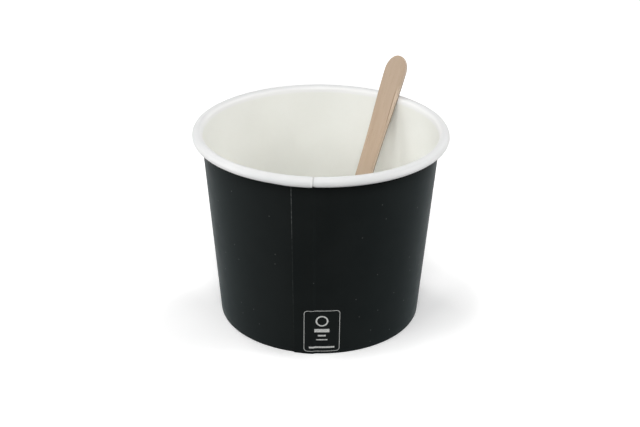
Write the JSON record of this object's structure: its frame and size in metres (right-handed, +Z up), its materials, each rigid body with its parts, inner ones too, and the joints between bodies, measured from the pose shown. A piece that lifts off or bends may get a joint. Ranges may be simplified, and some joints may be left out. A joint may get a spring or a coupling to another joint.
{
  "type": "paper ice cream cup",
  "caption": "Tapered round paper cup with a rolled rim, a lapped side seam and a recessed bottom, black outside and white inside, with a flat wooden spoon standing in it.",
  "frame": {"origin": "centre of the ring that the cup stands on, in the plane of the table", "axes": "+Z up through the open mouth; the side seam is on the -Y side; the spoon leans towards +X and +Y"},
  "size_m": [0.098, 0.0983, 0.0917],
  "materials": {
    "printed_board": "satin",
    "white_board": "satin",
    "birch": "matte"
  },
  "bodies": {
    "root": {"cup_wall": "printed_board", "cup_bottom": "white_board", "wooden_spoon": "birch"}
  },
  "joints": []
}
